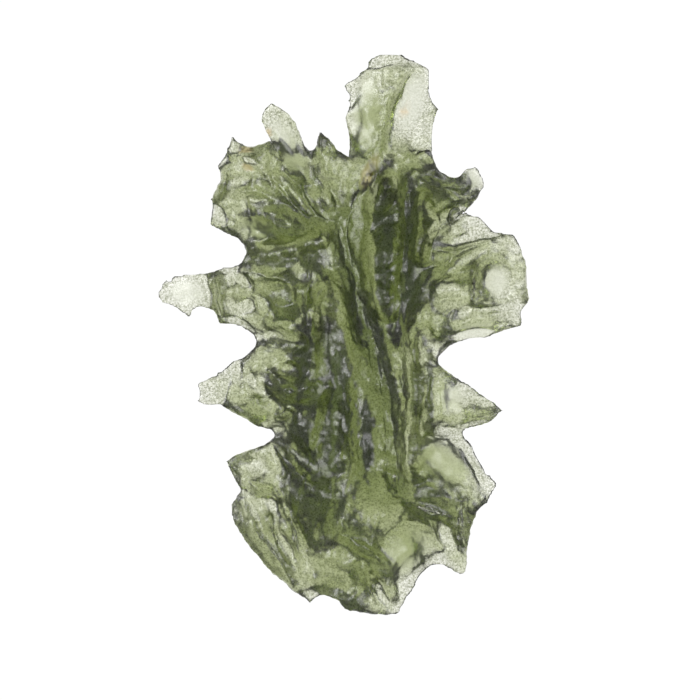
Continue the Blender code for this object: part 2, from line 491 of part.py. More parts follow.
def sculpt(stone, change):
    """Moves every vertex up or down by change(places seen from above, sides), within the thickness."""
    bm = bmesh.new()
    bm.from_mesh(stone.data)
    tree = BVHTree.FromBMesh(bm)
    places = np.array([vert.co[:] for vert in bm.verts])
    slopes = np.array([vert.normal.z for vert in bm.verts])
    sides = np.sign(slopes)
    thick = []
    for vert, side in zip(bm.verts, sides):
        hit = tree.ray_cast(vert.co - Vector((0, 0, 0.02 * side)), (0, 0, -side))
        thick.append(hit[3] if hit[0] else 0)
    moves = change(places, sides)
    facing = np.clip((np.abs(slopes) - 0.1) / 0.4, 0, 1)
    moves = np.maximum(moves, -THINNEST * np.array(thick)) * facing
    for vert, move, side in zip(bm.verts, moves, sides):
        vert.co.z += move * side
    bm.to_mesh(stone.data)
    bm.free()


def height_of(points, lines, power):
    """The height at each point of the tallest swelling that runs along one of the lines."""
    height = np.zeros(len(points))
    share, size = WANDER
    wander = 1 + share * np.array([noise.noise((x / size, y / size, power)) for x, y in points])
    for half_width, tall, line in lines:
        first, last = Vector(line[0]), Vector(line[-1])
        first += (first - Vector(line[1])).normalized() * half_width
        last += (last - Vector(line[-2])).normalized() * half_width
        gap, way = place_on_line(points, [first, *line[1:-1], last])
        full = np.clip(way / (RUN_OUT * tall), 0, 1)
        gap /= half_width * wander * (0.6 + 0.4 * full)
        height = np.maximum(height, tall * full * np.clip(1 - gap ** power, 0, 1) ** 1.3)
    return height


def raise_and_sink(places, sides):
    """Ribs and channels of the upper side, keels and flutes of the lower side."""
    points = places[:, :2]
    upper = height_of(points, RIBS, ROUND) - height_of(points, CHANNELS, ROUND)
    lower = height_of(points, KEELS, PEAKED) - height_of(points, FLUTES, FLAT)
    return np.where(sides > 0, upper, lower)


def hollow_out(places, sides):
    """Named hollows and small cups, on the upper and the lower side."""
    draw = random.Random(CUP_SEED)
    above, below = random_cups(draw), random_cups(draw)
    upper = deepest_hollow(places[:, :2], HOLLOWS + above)
    lower = np.maximum(UNDER_SHARE * deepest_hollow(places[:, :2], HOLLOWS),
                       deepest_hollow(places[:, :2], below))
    clear = np.clip((places[:, 2] - places[:, 2].min() - FLAT_SPOT - 0.2) / 0.6, 0, 1)
    return np.where(sides > 0, -upper, -lower * clear)


def cut_flat_spot(bm):
    """Slices the lowest skin off, which leaves the flat spots that the stone rests on."""
    level = min(vert.co.z for vert in bm.verts) + FLAT_SPOT
    cut = bmesh.ops.bisect_plane(
        bm, geom=bm.verts[:] + bm.edges[:] + bm.faces[:], dist=0.01, plane_co=(0, 0, level),
        plane_no=(0, 0, -1), clear_outer=True)["geom_cut"]
    for item in cut:
        if isinstance(item, bmesh.types.BMVert):
            item.co.z = level
    bmesh.ops.holes_fill(bm, edges=[item for item in cut if isinstance(item, bmesh.types.BMEdge)])
    bmesh.ops.dissolve_degenerate(bm, dist=0.02, edges=bm.edges)


def green_glass():
    """Clear bottle-green glass."""
    glass = bpy.data.materials.new("bottle-green natural glass")
    glass.use_nodes = True
    shader = glass.node_tree.nodes["Principled BSDF"]
    shader.inputs["Base Color"].default_value = (0.42, 0.5, 0.27, 1)
    shader.inputs["Roughness"].default_value = 0.15
    shader.inputs["Metallic"].default_value = 0
    shader.inputs["IOR"].default_value = 1.49
    shader.inputs["Transmission Weight"].default_value = 1
    return glass


def main():
    for obj in list(bpy.data.objects):
        bpy.data.objects.remove(obj)

    bm = bmesh.new()
    for fin in FINS.values():
        add_fin(bm, fin)
    bmesh.ops.recalc_face_normals(bm, faces=bm.faces)
    mesh = bpy.data.meshes.new("moldavite")
    bm.to_mesh(mesh)
    bm.free()
    stone = bpy.data.objects.new("moldavite", mesh)
    bpy.context.scene.collection.objects.link(stone)
    fuse(stone)
    sculpt(stone, raise_and_sink)
    fuse(stone)
    sculpt(stone, hollow_out)

    fewer = stone.modifiers.new("fewer faces", "DECIMATE")
    fewer.ratio = TRIANGLES / sum(len(face.vertices) - 2 for face in stone.data.polygons)
    apply_modifiers(stone)

    bm = bmesh.new()
    bm.from_mesh(stone.data)
    cut_flat_spot(bm)
    low = Vector(min(vert.co[i] for vert in bm.verts) for i in range(3))
    high = Vector(max(vert.co[i] for vert in bm.verts) for i in range(3))
    foot = Vector(((low.x + high.x) / 2, (low.y + high.y) / 2, low.z))
    bmesh.ops.transform(bm, matrix=Matrix.Scale(0.001, 4) @ Matrix.Translation(-foot), verts=bm.verts)
    bm.to_mesh(stone.data)
    bm.free()
    stone.data.shade_smooth()
    stone.data.set_sharp_from_angle(angle=math.radians(40))
    stone.data.materials.append(green_glass())


main()
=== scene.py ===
# A moldavite on a light table: one clear bottle-green stone, seen from straight above.
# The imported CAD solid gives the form. This script gives it the etched skin and the glass.
import math
import random

import bmesh
import bpy
import numpy as np
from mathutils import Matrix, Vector, noise
from mathutils.bvhtree import BVHTree
from mathutils.kdtree import KDTree


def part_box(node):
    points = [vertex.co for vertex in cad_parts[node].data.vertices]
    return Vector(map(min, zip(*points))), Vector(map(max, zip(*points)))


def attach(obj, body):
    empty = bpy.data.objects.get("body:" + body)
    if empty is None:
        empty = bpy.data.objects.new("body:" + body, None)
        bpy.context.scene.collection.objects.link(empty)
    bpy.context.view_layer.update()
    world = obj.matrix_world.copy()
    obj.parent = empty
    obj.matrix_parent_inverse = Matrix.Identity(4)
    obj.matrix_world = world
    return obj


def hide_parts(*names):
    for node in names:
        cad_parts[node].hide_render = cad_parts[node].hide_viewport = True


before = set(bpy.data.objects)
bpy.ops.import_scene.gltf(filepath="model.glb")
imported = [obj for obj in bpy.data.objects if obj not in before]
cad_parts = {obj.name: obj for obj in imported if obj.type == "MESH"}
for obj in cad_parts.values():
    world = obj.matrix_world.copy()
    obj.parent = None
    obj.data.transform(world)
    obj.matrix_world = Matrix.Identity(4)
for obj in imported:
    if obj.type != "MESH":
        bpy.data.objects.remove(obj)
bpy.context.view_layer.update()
mm = 0.001


def linear(code):
    # sRGB hex to the linear colour that the shaders take
    parts = [int(code[i:i + 2], 16) / 255 for i in (0, 2, 4)]
    return [p / 12.92 if p <= 0.04045 else ((p + 0.055) / 1.055) ** 2.4 for p in parts] + [1]


def addNode(tree, kind, settings=None, links=None):
    node = tree.nodes.new(kind)
    for key, value in (settings or {}).items():
        if key in node.inputs.keys():
            node.inputs[key].default_value = value
        else:
            setattr(node, key, value)
    for key, socket in (links or {}).items():
        tree.links.new(socket, node.inputs[key])
    return node


def mixColour(tree, factor, first, second):
    # each end is a socket or a plain colour
    node = addNode(tree, "ShaderNodeMix", {"data_type": "RGBA"}, {0: factor})
    for socket, end in ((node.inputs[6], first), (node.inputs[7], second)):
        if isinstance(end, list):
            socket.default_value = end
        else:
            tree.links.new(end, socket)
    return node.outputs[2]


def applied(obj):
    # turns the live modifiers into plain mesh
    graph = bpy.context.evaluated_depsgraph_get()
    mesh = bpy.data.meshes.new_from_object(obj.evaluated_get(graph))
    obj.modifiers.clear()
    obj.data = mesh


def addAttribute(mesh, name, values):
    layer = mesh.attributes.new(name, "FLOAT", "POINT")
    layer.data.foreach_set("value", values.astype(np.float32))


# the stone's settings, lengths in millimetres
stone = {
    "merge": 0.001,  # loose corners of the solid closer than this become one
    "voxel": 0.138,  # spacing of the even skin
    "smoothPasses": 3,  # over the whole skin
    "calmPasses": 10,  # over the smooth faces
    "calmFrom": 0.15,  # where in the soft rim of a smooth face those passes start
    "blendPasses": 60,  # over the roots of the thin fins
    "edgeShare": 1.4,  # the thinnest edges are this many times as thick as in the solid
    "fullFrom": 2.6,  # where the solid is at least this thick, its thickness is kept
    "edgeInset": 0.1,  # an edge's thickness is measured this far inside it
    "gaugeRim": 1.2,  # how steeply a thicker or thinner place begins
    "coverRim": 1.3,  # how steeply a smooth, rugged or stained place begins
    "cupLayers": [  # (spacing, half length, half width, depth, seed)
        (1.7, 1.3, 0.8, 0.12, 3),
        (0.85, 0.65, 0.45, 0.065, 5),
        (0.48, 0.36, 0.24, 0.045, 8),
    ],
    "cupApart": 0.75,  # no cup starts nearer to another than this share of the spacing
    "cupTurn": 0.9,  # the most that a cup turns from the flow, in radians
    "cupSizes": (0.75, 1.3),  # the smallest and the largest, as shares
    "leastFlow": 0.2,  # below this much flow along the skin, a cup lies any way
    "grit": [(0.6, 0.03), (0.3, 0.04)],  # (size, height) of the sugary unevenness
    "facetShare": 1.4,  # deepens all facets
    "facetSlopes": (0.1, 0.5),  # how level the skin must be for a facet to begin, and to be full
    "underShare": 0.7,  # how deep the underside's facets are, beside those of the top
    "calmShare": 0.3,  # how much of the etching the smooth faces have
    "calmFrost": 0.3,  # how much of the frost they have
    "ruggedShare": 1.25,  # how much of the etching the rugged places have
    "thinnestShare": 0.28,  # the etching takes no more than this share of the thickness
    "rayStart": 0.02,  # thickness is measured from this far under the skin
    "loneThickness": 0.2,  # where no far side is found
    "restHeight": 0.5,  # the etching fades in over this height above the flat spots
    "pressed": 0.06,  # how much of the lowest part is pressed flat, to rest on
    "triangles": 192000,  # of the finished skin
}

# which way the etched flutes run: along the nearest of these lines, (x, y) to (x, y)
flowLines = [
    ((0.5, 8.0), (1.0, -9.0)),
    ((1.8, 10.0), (3.6, 18.0)),
    ((-0.8, 10.0), (-1.6, 14.0)),
    ((-3.2, 11.5), (-5.0, 16.0)),
    ((-2.0, 7.0), (-6.0, 11.4)),
    ((-3.0, 2.8), (-12.5, 3.2)),
    ((-3.0, -3.8), (-9.8, -4.2)),
    ((-2.0, -10.0), (-4.2, -16.8)),
    ((1.2, -13.0), (1.8, -19.0)),
    ((4.4, -11.0), (8.8, -14.5)),
    ((4.5, -8.5), (9.5, -9.5)),
    ((4.4, -4.2), (10.8, -5.4)),
    ((4.8, 3.0), (12.5, 5.0)),
    ((4.6, 9.0), (9.4, 11.0)),
]

# sharp facets, seen from above: (x, y, half length, half width, turn in degrees, depth)
facets = {
    "blade": [
        (4.9, 17.4, 1.4, 0.8, 75, 0.3), (4.1, 15.6, 1.3, 0.75, 70, 0.25),
        (2.7, 19.3, 1.7, 0.4, 8, 0.2), (5.2, 13.4, 1.0, 0.6, 40, 0.2),
    ],
    "finger": [
        (-5.3, 15.2, 0.9, 0.4, 105, 0.2), (-4.3, 14.2, 2.0, 0.4, 120, 0.2),
        (-3.5, 14.0, 1.6, 0.35, 118, 0.15),
    ],
    "shoulder": [
        (-6.2, 7.4, 1.5, 0.9, -12, 0.3), (-8.9, 8.6, 1.0, 0.5, -55, 0.25),
        (-4.0, 9.6, 1.7, 0.4, -48, 0.25), (-3.0, 9.2, 1.7, 0.4, -50, 0.25),
        (-2.0, 9.2, 1.8, 0.4, -58, 0.25), (-7.4, 10.8, 1.0, 0.6, 20, 0.2),
        (-6.0, 9.6, 1.2, 0.5, -10, 0.2), (-7.6, 13.0, 0.8, 0.4, 100, 0.2),
        (-4.6, 8.2, 1.2, 0.5, -25, 0.2), (-6.6, 12.3, 1.3, 0.35, -25, 0.2),
        (-8.2, 9.8, 0.9, 0.3, 60, 0.2), (-5.6, 11.4, 1.2, 0.35, -60, 0.2),
        (-7.0, 9.2, 0.9, 0.3, -70, 0.2),
    ],
    "long spine": [
        (-11.2, 3.3, 1.0, 0.7, 10, 0.1), (-9.7, 3.0, 1.3, 0.4, 98, 0.15),
        (-7.9, 3.9, 1.0, 0.5, 70, 0.25), (-7.0, 3.6, 1.1, 0.5, -55, 0.25),
        (-7.0, 2.0, 0.9, 0.7, 20, 0.25), (-8.0, 2.1, 0.8, 0.4, -60, 0.2),
        (-5.6, 2.2, 1.4, 0.4, -58, 0.25), (-7.4, 0.8, 1.4, 0.35, -22, 0.2),
        (-4.6, 3.0, 1.4, 0.9, -28, 0.3),
    ],
    "low spine": [
        (-8.4, -3.7, 1.5, 0.4, 82, 0.2), (-7.4, -3.0, 1.2, 0.4, -80, 0.2),
        (-6.5, -3.2, 0.8, 0.4, -80, 0.2), (-5.3, -4.6, 1.5, 0.6, -48, 0.25),
        (-3.9, -2.5, 0.9, 0.6, -20, 0.3), (-9.7, -4.2, 0.7, 0.6, 10, 0.1),
    ],
    "left fan": [
        (-6.2, -9.3, 1.8, 0.8, -18, 0.12), (-5.2, -12.0, 1.6, 0.5, -62, 0.12),
        (-4.7, -9.0, 1.4, 0.4, -72, 0.25), (-3.3, -14.2, 2.8, 0.45, -68, 0.25),
        (-4.2, -15.0, 2.2, 0.45, -62, 0.25), (-5.3, -15.6, 2.4, 0.4, -56, 0.2),
        (-6.3, -12.8, 1.4, 0.4, -64, 0.2), (-7.4, -12.6, 1.1, 0.4, -78, 0.15),
    ],
    "foot": [
        (0.0, -18.0, 1.2, 0.7, 15, 0.2), (2.5, -18.2, 1.7, 0.4, -60, 0.25),
        (1.5, -18.3, 1.3, 0.4, -55, 0.2),
    ],
    "right fan": [
        (9.0, -8.8, 1.6, 0.4, -62, 0.2), (9.9, -10.3, 1.2, 0.4, -52, 0.2),
        (6.2, -12.4, 1.6, 0.5, -18, 0.3), (7.2, -14.2, 1.6, 0.6, -60, 0.2),
        (8.6, -13.4, 1.6, 0.45, 92, 0.35),
    ],
    "right spine": [
        (8.0, -4.4, 1.6, 1.3, -60, 0.2), (10.0, -5.1, 1.1, 0.5, -25, 0.15),
        (9.4, -6.3, 1.6, 0.3, 12, 0.15), (6.4, -4.4, 1.7, 0.5, 90, 0.25),
    ],
    "right lobe": [
        (9.2, 3.4, 1.0, 0.4, 78, 0.3), (8.7, 5.3, 1.9, 0.6, 32, 0.2), (7.2, 3.3, 1.2, 0.7, 10, 0.2),
        (9.2, 6.8, 2.0, 0.35, 20, 0.2), (9.2, 0.1, 1.8, 0.4, 8, 0.2), (10.7, 1.9, 1.7, 0.3, 5, 0.2),
        (8.4, 1.6, 1.0, 0.5, 40, 0.2),
    ],
    "wing": [
        (6.8, 11.0, 1.8, 0.5, -15, 0.2), (7.9, 10.0, 1.5, 0.4, -40, 0.25),
        (9.3, 11.1, 0.9, 0.6, 80, 0.15), (7.2, 8.1, 2.1, 0.7, 38, 0.3), (8.6, 9.8, 1.2, 0.3, 52, 0.2),
    ],
}

# striations of the long ribs: (half width, height, line), fine ridges that run along the stone
striations = [
    (0.16, 0.12, [(2.0, -0.4), (2.6, -3.4), (3.0, -7.0), (3.1, -10.6)]),
    (0.16, 0.14, [(2.7, -1.6), (3.3, -4.4), (3.7, -8.0), (3.8, -11.0)]),
    (0.16, 0.12, [(3.5, -3.4), (4.1, -6.4), (4.3, -9.6)]),
    (0.14, 0.10, [(0.9, 10.0), (0.2, 7.8), (0.5, 5.0), (1.0, 2.8)]),
    (0.14, 0.10, [(1.6, 2.6), (1.9, 0.6), (2.6, -1.4)]),
    (0.14, 0.12, [(-2.6, 6.0), (-2.5, 3.4), (-2.7, 0.8)]),
    (0.14, 0.10, [(-2.9, -1.0), (-3.1, -3.6), (-3.4, -6.0)]),
    (0.14, 0.10, [(4.2, 10.0), (4.4, 7.2), (4.0, 4.4), (3.6, 2.4)]),
]

# smooth faces that the etching left nearly clear: (x, y, half length, half width, turn)
smoothFaces = [
    (7.1, -8.9, 2.4, 1.6, -40), (4.4, -15.4, 2.2, 1.5, 40), (-6.2, 7.4, 1.4, 0.8, -12),
    (10.7, 3.8, 1.3, 1.05, 80), (-11.2, 3.0, 1.6, 1.0, 0), (4.8, 16.6, 2.4, 1.1, 76),
    (-3.9, 13.2, 2.6, 0.9, 118), (1.5, 15.6, 3.2, 1.1, 84), (7.6, -4.4, 1.2, 1.0, -60),
    (9.4, 0.2, 2.0, 0.6, 8), (9.3, 11.2, 0.8, 0.8, 0),
]

# roots of the thin fins, where the skin runs smoothly from thick to thin, in the same terms
roots = [
    (-3.2, 12.4, 1.6, 1.3, 118), (0.6, 12.0, 1.4, 1.2, 0), (3.6, 12.6, 3.0, 1.4, 10),
    (-0.9, 12.4, 1.0, 0.9, 0), (8.4, 10.8, 1.2, 1.0, 0), (9.6, -9.4, 2.6, 1.0, -55),
    (5.0, -13.8, 1.4, 1.0, -30),
]

# places that are thicker or thinner than their surroundings, in the same terms and with the factor last
gauges = [
    (1.2, 15.4, 4.8, 2.4, 82, 1.45), (4.7, 16.0, 3.6, 1.4, 74, 0.4), (10.6, 3.8, 1.7, 1.4, 80, 0.25),
    (-11.4, 3.1, 2.6, 1.8, 0, 0.2), (-7.2, 2.6, 2.4, 2.0, 0, 0.64), (9.3, 11.2, 1.6, 1.2, 30, 0.3),
    (-9.8, -4.2, 1.5, 1.3, 0, 0.45), (-6.8, -3.6, 2.2, 1.6, 0, 0.66), (11.8, 2.0, 5.0, 1.3, 88, 0.6),
    (8.6, 7.4, 2.6, 1.0, 25, 0.6), (8.4, -4.8, 2.4, 1.4, -10, 0.75), (10.6, -9.4, 3.0, 1.2, -60, 0.5),
    (6.6, -17.4, 2.0, 1.4, 40, 0.45), (-4.6, 14.6, 2.2, 1.2, 118, 0.5),
    (-5.4, -10.8, 3.0, 2.0, -66, 0.62), (3.1, 0.6, 3.6, 1.2, 88, 1.2), (-6.6, 10.4, 3.0, 2.4, 0, 0.82),
    (7.4, 2.8, 2.6, 2.2, 0, 0.6), (3.2, 7.0, 4.0, 1.4, 88, 1.25), (-8.6, 12.6, 1.0, 0.9, 0, 0.7),
    (8.0, -9.2, 3.0, 2.2, -40, 0.7), (6.6, -15.0, 2.6, 1.4, 60, 0.8), (-2.7, 2.6, 3.4, 0.7, 88, 0.85),
    (-5.9, -11.0, 1.7, 0.55, -20, 1.6), (-4.4, -13.6, 3.0, 0.6, -68, 0.65),
    (-5.2, -15.6, 3.0, 0.5, -56, 1.5), (-4.0, -4.0, 0.8, 0.6, 0, 1.4), (-4.2, -5.6, 0.8, 0.5, 30, 1.4),
    (-6.0, -3.4, 1.3, 1.0, 0, 0.7), (-8.9, 2.6, 1.6, 0.35, 100, 1.8), (-8.9, 8.6, 1.0, 0.5, -55, 0.85),
    (-8.6, 10.8, 1.6, 0.5, 75, 1.6), (-7.2, 12.7, 1.6, 0.4, 10, 1.4), (6.2, -12.5, 1.6, 0.5, -18, 1.5),
    (8.5, -13.5, 1.6, 0.5, 92, 1.6), (1.6, -15.4, 2.4, 0.6, -30, 1.3), (4.6, -16.6, 1.6, 1.0, 50, 0.6),
    (9.3, 3.6, 1.3, 0.4, 80, 1.7), (9.3, 0.2, 2.2, 0.5, 8, 0.5), (8.8, 6.9, 2.2, 0.5, 20, 0.6),
    (6.8, 10.8, 2.0, 0.8, -20, 1.1), (1.9, 11.6, 1.6, 0.6, 66, 0.6), (-3.3, 12.2, 1.8, 1.1, 118, 0.5),
    (5.8, -16.6, 2.4, 0.6, 40, 0.6), (2.4, -17.8, 1.8, 0.5, -60, 0.65),
    (0.6, -12.0, 2.0, 1.2, 88, 0.85), (4.0, -6.0, 4.0, 0.6, 96, 0.85),
]

# rugged places, where the etching bit deepest, in the same terms
rugged = [
    (3.1, 6.6, 4.6, 1.2, 88), (5.4, 7.6, 2.6, 1.0, 88), (-0.6, 2.6, 2.2, 1.3, 80),
    (-6.8, 10.8, 2.2, 1.6, 10), (-0.6, -7.0, 3.2, 1.2, 88), (-4.2, -4.8, 1.6, 1.2, 60),
    (-3.4, -9.4, 1.8, 1.1, -50), (7.2, 10.6, 2.0, 0.9, -20), (7.4, 2.8, 1.8, 1.4, 30),
    (-3.2, -14.5, 3.0, 1.0, -66),
]

# traces of the tan clay that the stone lay in: (x, y, half length, half width, turn)
clay = [
    (1.9, 11.6, 1.5, 0.6, 66), (-6.9, 13.2, 0.6, 0.35, 10), (-6.8, 11.9, 0.5, 0.3, -30),
    (-5.4, 14.2, 0.45, 0.3, 60), (4.3, 15.8, 0.4, 0.3, 20),
]


def placesOf(bm):
    return np.array([vert.co[:] for vert in bm.verts])


def insideOval(points, oval):
    # 1 at the middle of an oval seen from above, 0 at its rim, below 0 outside
    x, y, halfLength, halfWidth, turn = oval[:5]
    angle = math.radians(turn)
    along = (points - (x, y)) @ (math.cos(angle), math.sin(angle)) / halfLength
    across = (points - (x, y)) @ (-math.sin(angle), math.cos(angle)) / halfWidth
    return 1 - along ** 2 - across ** 2


def deepestFacet(points):
    # each facet is a shallow bowl, and two that meet leave a sharp ridge between them
    depth = np.zeros(len(points))
    for group in facets.values():
        for oval in group:
            depth = np.maximum(depth, oval[5] * insideOval(points, oval))
    return depth


def coverage(points, ovals):
    # 0 to 1, soft at the rims of the ovals
    cover = np.zeros(len(points))
    for oval in ovals:
        cover = np.maximum(cover, np.clip(stone["coverRim"] * insideOval(points, oval), 0, 1))
    return cover


def lineGap(points, line):
    # how far each point is from a bent line, seen from above
    gap = np.full(len(points), math.inf)
    for a, b in zip(line, line[1:]):
        a, along = np.array(a), np.array(b) - np.array(a)
        share = np.clip((points - a) @ along / (along @ along), 0, 1)
        gap = np.minimum(gap, np.linalg.norm(points - a - share[:, None] * along, axis=1))
    return gap


def striationHeight(points):
    height = np.zeros(len(points))
    for halfWidth, tall, line in striations:
        height += tall * np.clip(1 - lineGap(points, line) / halfWidth, 0, 1)
    return height


def flowAt(place):
    # the direction of the nearest flow line
    best, bestGap = None, math.inf
    for a, b in flowLines:
        a, b = Vector(a), Vector(b)
        along = b - a
        share = min(max((place.xy - a).dot(along) / along.dot(along), 0), 1)
        gap = (place.xy - a - share * along).length
        if gap < bestGap:
            best, bestGap = along.normalized(), gap
    return Vector((best.x, best.y, 0))


def cupDepths(bm, tree, layer):
    # one layer of etched cups, scattered over the skin and stretched along the flow
    spacing, halfLength, halfWidth, deep, seed = layer
    draw = random.Random(seed)
    order = list(range(len(bm.verts)))
    draw.shuffle(order)
    taken = np.zeros(len(bm.verts), bool)
    depth = np.zeros(len(bm.verts))
    for index in order:
        if taken[index]:
            continue
        vert = bm.verts[index]
        for _, near, _ in tree.find_range(vert.co, spacing * stone["cupApart"]):
            taken[near] = True
        normal = vert.normal
        flow = flowAt(vert.co)
        turn = draw.uniform(-stone["cupTurn"], stone["cupTurn"])
        along = flow - normal * flow.dot(normal)
        if along.length < stone["leastFlow"]:
            along = normal.orthogonal()
        along.normalize()
        across = normal.cross(along)
        along, across = (along * math.cos(turn) + across * math.sin(turn),
                         across * math.cos(turn) - along * math.sin(turn))
        size = draw.uniform(*stone["cupSizes"])
        found = tree.find_range(vert.co, halfLength * size)
        near = np.array([item[1] for item in found])
        gaps = np.array([item[0][:] for item in found]) - np.array(vert.co[:])
        far = ((gaps @ np.array(along)) / (halfLength * size)) ** 2
        far += ((gaps @ np.array(across)) / (halfWidth * size)) ** 2
        far += ((gaps @ np.array(normal)) / (halfLength * size)) ** 2
        depth[near] = np.maximum(depth[near], deep * size * np.clip(1 - far, 0, 1))
    return depth


def fineSkin():
    # the CAD solid with its loose triangles merged, as an even and softened skin in millimetres
    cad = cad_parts["moldavite"]
    obj = bpy.data.objects.new("moldavite_glass", cad.data.copy())
    bpy.context.scene.collection.objects.link(obj)
    bm = bmesh.new()
    bm.from_mesh(obj.data)
    bmesh.ops.remove_doubles(bm, verts=bm.verts, dist=stone["merge"] * mm)
    bmesh.ops.scale(bm, vec=(1 / mm, 1 / mm, 1 / mm), verts=bm.verts)
    bm.to_mesh(obj.data)
    bm.free()
    skin = obj.modifiers.new("fine skin", "REMESH")
    skin.mode = "VOXEL"
    skin.voxel_size = stone["voxel"]
    applied(obj)
    return obj


def fitToBox(bm):
    # softening shrinks the stone a little, so it is stretched back to the CAD solid's box
    box = np.array([corner[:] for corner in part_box("moldavite")]) / mm
    box[0][2] -= stone["pressed"]
    places = placesOf(bm)
    low, high = places.min(axis=0), places.max(axis=0)
    places = box[0] + (places - low) * (box[1] - box[0]) / (high - low)
    for vert, place in zip(bm.verts, places):
        vert.co = (place[0], place[1], max(place[2], 0))


def columns(bm, tree):
    # the top and the underside of the stone straight above and below each vertex
    tops, unders = np.zeros(len(bm.verts)), np.zeros(len(bm.verts))
    clearOf = 30  # well above and below the stone
    for vert in bm.verts:
        x = vert.co.x - stone["edgeInset"] * vert.normal.x
        y = vert.co.y - stone["edgeInset"] * vert.normal.y
        above = tree.ray_cast((x, y, clearOf), (0, 0, -1))[0]
        below = tree.ray_cast((x, y, -clearOf), (0, 0, 1))[0]
        tops[vert.index] = above.z if above else vert.co.z
        unders[vert.index] = below.z if below else vert.co.z
    return tops, unders


def gritAt(place):
    # sugary unevenness of the etched skin
    return sum(tall * noise.noise(place / size) for size, tall in stone["grit"])


def smoothed(bm, verts, passes, sideways=False):
    for _ in range(passes):
        bmesh.ops.smooth_vert(bm, verts=verts, factor=0.5,
                              use_axis_x=sideways, use_axis_y=sideways, use_axis_z=True)


def gauged(bm):
    # stretches the stone about its middle height, and gives its new thickness at each vertex
    tops, unders = columns(bm, BVHTree.FromBMesh(bm))
    points = placesOf(bm)[:, :2]
    shares = np.ones(len(bm.verts))
    for oval in gauges:
        shares *= 1 + (oval[5] - 1) * np.clip(stone["gaugeRim"] * insideOval(points, oval), 0, 1)
    edgeShare = stone["edgeShare"]
    shares *= edgeShare + (1 - edgeShare) * np.minimum((tops - unders) / stone["fullFrom"], 1)
    for vert, middle, share in zip(bm.verts, (tops + unders) / 2, shares):
        vert.co.z = middle + (vert.co.z - middle) * share
    return shares * (tops - unders)


def throughStone(bm):
    # the thickness at each vertex, straight in from the skin
    solid = BVHTree.FromBMesh(bm)
    thick = np.full(len(bm.verts), stone["loneThickness"])
    for vert in bm.verts:
        hit = solid.ray_cast(vert.co - vert.normal * stone["rayStart"], -vert.normal)
        if hit[0]:
            thick[vert.index] = hit[3]
    return thick


def etchedDepth(bm, points, slopes, thick):
    # how far the skin lies under the softened one: facets, striations, cups and grit together
    endSlope, fullSlope = stone["facetSlopes"]
    facing = np.clip((np.abs(slopes) - endSlope) / (fullSlope - endSlope), 0, 1)
    side = np.where(slopes > 0, 1, stone["underShare"])
    depth = stone["facetShare"] * deepestFacet(points) * side * facing
    depth -= striationHeight(points) * np.clip(slopes, 0, 1)
    etching = 1 - (1 - stone["calmShare"]) * coverage(points, smoothFaces)
    etching *= 1 + (stone["ruggedShare"] - 1) * coverage(points, rugged)
    near = KDTree(len(bm.verts))
    for vert in bm.verts:
        near.insert(vert.co, vert.index)
    near.balance()
    for layer in stone["cupLayers"]:
        depth += cupDepths(bm, near, layer) * etching
    depth += np.array([gritAt(vert.co) for vert in bm.verts]) * etching
    heights = placesOf(bm)[:, 2]
    resting = np.clip((heights - heights.min()) / stone["restHeight"], 0, 1)
    return np.minimum(depth, stone["thinnestShare"] * thick) * resting


def buildStone():
    obj = fineSkin()
    bm = bmesh.new()
    bm.from_mesh(obj.data)
    points = placesOf(bm)[:, :2]
    calmCover, rootCover = coverage(points, smoothFaces), coverage(points, roots)
    calmVerts = [vert for vert, calm in zip(bm.verts, calmCover) if calm > stone["calmFrom"]]
    rootVerts = [vert for vert, root in zip(bm.verts, rootCover) if root > 0]
    smoothed(bm, bm.verts, stone["smoothPasses"], sideways=True)
    smoothed(bm, calmVerts, stone["calmPasses"])
    bm.normal_update()
    bm.verts.ensure_lookup_table()
    print("skin has", len(bm.faces), "faces")

    thick = gauged(bm)
    smoothed(bm, rootVerts, stone["blendPasses"])
    bm.normal_update()
    thick = np.minimum(thick, throughStone(bm))
    points = placesOf(bm)[:, :2]
    slopes = np.array([vert.normal.z for vert in bm.verts])
    for vert, sunk in zip(bm.verts, etchedDepth(bm, points, slopes, thick)):
        vert.co -= vert.normal * sunk
    fitToBox(bm)
    bmesh.ops.scale(bm, vec=(mm, mm, mm), verts=bm.verts)
    bm.to_mesh(obj.data)
    bm.free()
    addAttribute(obj.data, "frost", 1 - (1 - stone["calmFrost"]) * coverage(points, smoothFaces))
    addAttribute(obj.data, "clay", coverage(points, clay) * (slopes > 0))

    fewer = obj.modifiers.new("fewer faces", "DECIMATE")
    triangles = sum(len(face.vertices) - 2 for face in obj.data.polygons)
    fewer.ratio = min(stone["triangles"] / triangles, 1)
    applied(obj)
    obj.data.shade_smooth()
    print("etched skin done, with", len(obj.data.polygons), "faces")
    return obj


# the glass's settings; its real grain is too fine to show, so it is drawn two pixels wide
glass = {
    "ior": 1.49,
    "clear": 0.985,  # the share of the light that passes, and the rest is the skin's faint bloom
    "roughness": 0.275,
    "grain": 0.14,  # size in millimetres
    "grainDetail": 2.0,
    "grainContrast": 0.7,
    "relief": 0.02,  # height of the grain in millimetres
    "shadedPits": (0.4, 0.56),  # where the grain turns from a pit, painted darker as shade, to a crest
    # painted shade: the colour drawn into the grain's pits, the low spots of its bump
    "pitShadeColour": "989c84",
    "grainColour": "fefef6",
    "clearColour": "eaecde",  # the smooth faces
    "clayColour": "f0cfa4",
    "depthColour": "d3daae",  # the bottle green that builds up with depth
    "density": 1250,  # per metre
}


